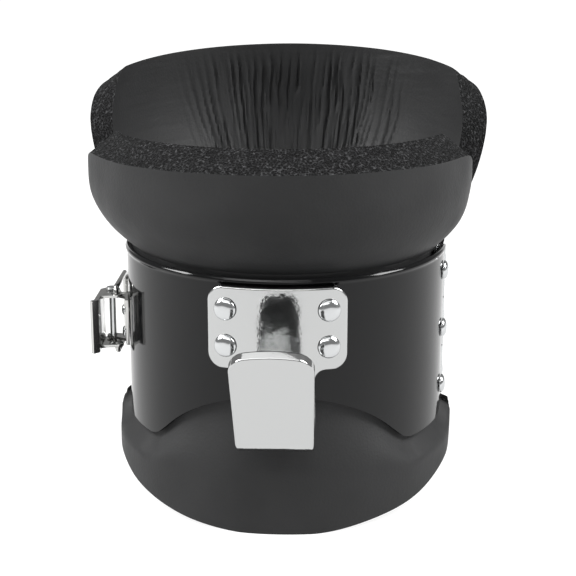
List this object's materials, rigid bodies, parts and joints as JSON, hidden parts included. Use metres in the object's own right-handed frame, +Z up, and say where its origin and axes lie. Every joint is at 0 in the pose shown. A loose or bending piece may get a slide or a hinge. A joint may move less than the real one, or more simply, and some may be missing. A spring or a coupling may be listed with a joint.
{
  "type": "inversion boot",
  "caption": "Clamshell ankle cuff lined with thick flared foam, with a J-shaped hook that hangs on a bar, a side hinge and an over-centre side latch.",
  "frame": {"origin": "centre of the bounding box's base, on the surface the cuff stands on", "axes": "+Z up along the leg, towards the flared collar; -Y towards the hook; +X towards the hinge, -X towards the latch"},
  "size_m": [0.1762, 0.2086, 0.185],
  "materials": {
    "black_enamel": "gloss black enamel on pressed steel",
    "foam": "charcoal closed-skin foam, raw open cells on the cut edges",
    "hook_chrome": "bright chrome plate",
    "latch_plate": "bright nickel plate",
    "rivet_zinc": "bright zinc plate"
  },
  "bodies": {
    "front_half": {"front_shell": "black_enamel", "front_pad": "foam", "hook": "hook_chrome", "hook_rivet_upper_left": "rivet_zinc", "hook_rivet_upper_right": "rivet_zinc", "hook_rivet_lower_left": "rivet_zinc", "hook_rivet_lower_right": "rivet_zinc", "hinge_leaf_front": "rivet_zinc", "hinge_pin": "rivet_zinc", "hinge_rivet_front_top": "rivet_zinc", "hinge_rivet_front_middle": "rivet_zinc", "hinge_rivet_front_bottom": "rivet_zinc", "latch_base": "latch_plate", "latch_base_rivet_upper": "rivet_zinc", "latch_base_rivet_lower": "rivet_zinc", "latch_pivot_pin": "rivet_zinc"},
    "rear_half": {"rear_shell": "black_enamel", "rear_pad": "foam", "hinge_leaf_rear": "rivet_zinc", "hinge_rivet_rear_top": "rivet_zinc", "hinge_rivet_rear_middle": "rivet_zinc", "hinge_rivet_rear_bottom": "rivet_zinc", "catch_plate": "latch_plate", "catch_rivet_upper": "rivet_zinc", "catch_rivet_lower": "rivet_zinc"},
    "latch_lever": {"latch_lever": "latch_plate"},
    "latch_bail": {"latch_bail": "latch_plate"}
  },
  "joints": [
    {"name": "cuff_hinge", "type": "hinge", "parent": "front_half", "child": "rear_half", "pos_m": [0.0682, 0.01436, 0.071], "axis": [0, 0, -1], "range_deg": [0, 70]},
    {"name": "latch_lever_pivot", "type": "hinge", "parent": "front_half", "child": "latch_lever", "pos_m": [-0.0775, 0.00936, 0.073], "axis": [0, 0, -1], "range_deg": [0, 130]},
    {"name": "latch_bail_pivot", "type": "hinge", "parent": "latch_lever", "child": "latch_bail", "pos_m": [-0.0746, 0.00186, 0.073], "axis": [0, 0, -1], "range_deg": [-143, 0]}
  ],
  "couplings": [
    {"joint": "latch_bail_pivot", "follows": "latch_lever_pivot", "ratio": -1.1}
  ]
}
